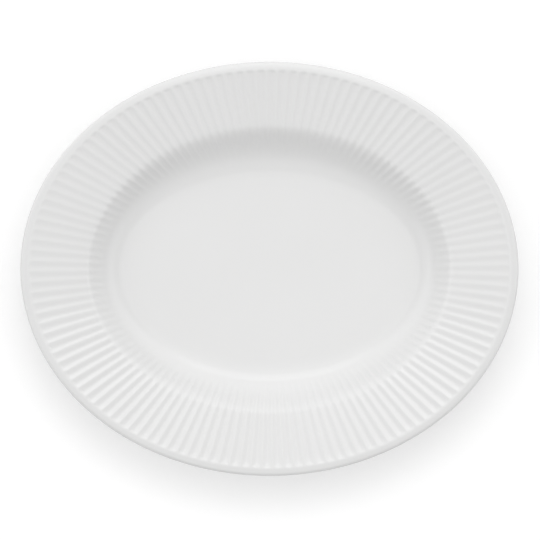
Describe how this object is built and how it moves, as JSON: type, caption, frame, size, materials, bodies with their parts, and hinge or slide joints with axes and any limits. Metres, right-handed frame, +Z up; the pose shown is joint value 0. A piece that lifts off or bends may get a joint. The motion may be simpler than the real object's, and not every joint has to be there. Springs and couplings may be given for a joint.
{
  "type": "oval deep plate",
  "caption": "White glazed porcelain oval plate with a sunk well, a wide rim of radial flutes that run over the shoulder into the well, a plain lip that rolls over outwards and an oval foot ring.",
  "frame": {"origin": "on the table, under the middle of the plate", "axes": "+X along the plate's long axis, +Y along its short axis, +Z up out of the well"},
  "size_m": [0.31, 0.2578, 0.03],
  "materials": {
    "porcelain": "fired and unglazed, matte, bare only on the foot ring",
    "glaze": "clear glossy glaze over white porcelain"
  },
  "bodies": {
    "root": {"porcelain_body": "porcelain", "glaze_coat": "glaze", "glaze_under_well": "glaze"}
  },
  "joints": []
}
